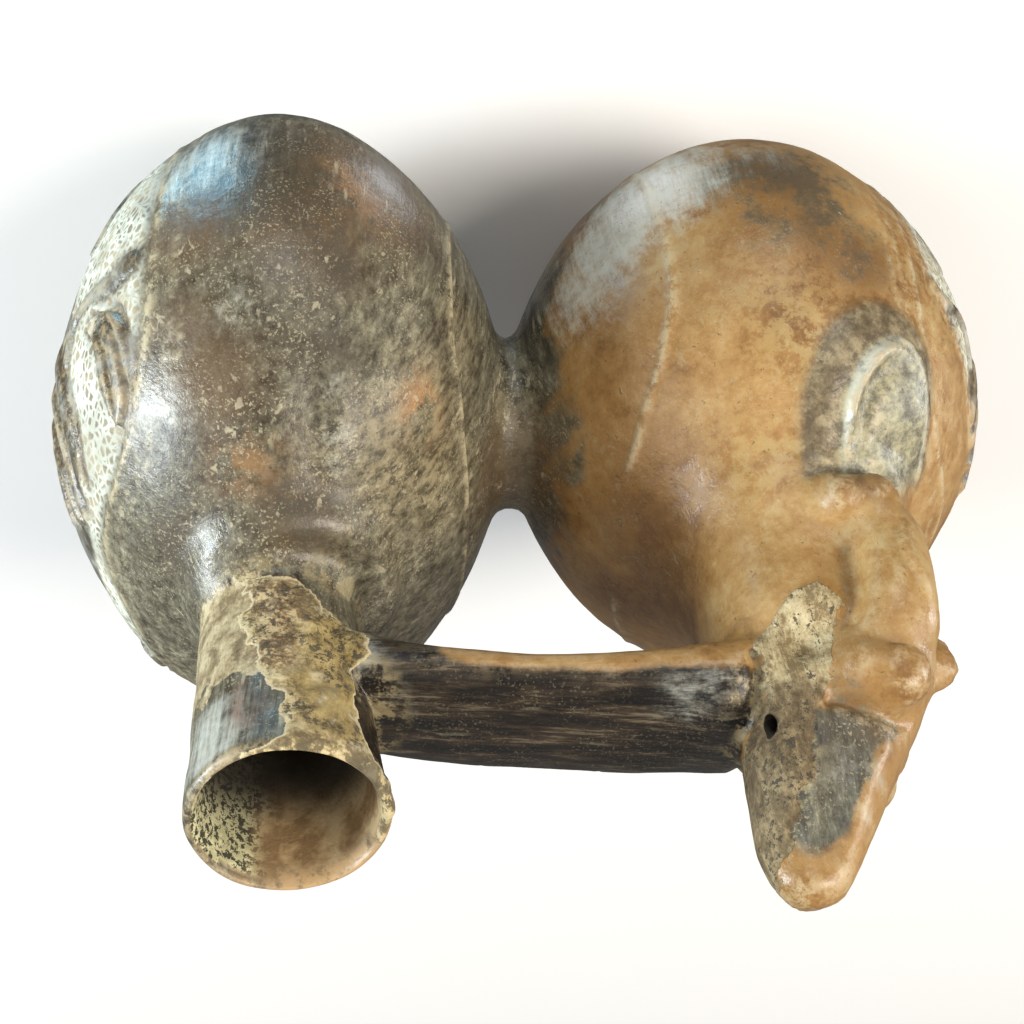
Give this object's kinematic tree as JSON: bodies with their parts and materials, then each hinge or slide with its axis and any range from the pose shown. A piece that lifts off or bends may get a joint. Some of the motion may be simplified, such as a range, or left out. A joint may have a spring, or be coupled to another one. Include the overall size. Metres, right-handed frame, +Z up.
{
  "type": "double chamber vessel",
  "caption": "Hollow fired-clay vessel of paired round chambers joined at the waist, with an upright spout, a strap handle and a seated figure in a tall pointed cap.",
  "frame": {"origin": "centre of the overall length and depth, on the plane the vessel stands on", "axes": "+Z up, +X from the figure's chamber to the spout's chamber, -Y to the side seen in the picture"},
  "size_m": [0.196, 0.1269, 0.1866],
  "materials": {
    "fired_clay": "burnished, worn and partly encrusted"
  },
  "bodies": {
    "root": {"double_vessel": "fired_clay"}
  },
  "joints": []
}
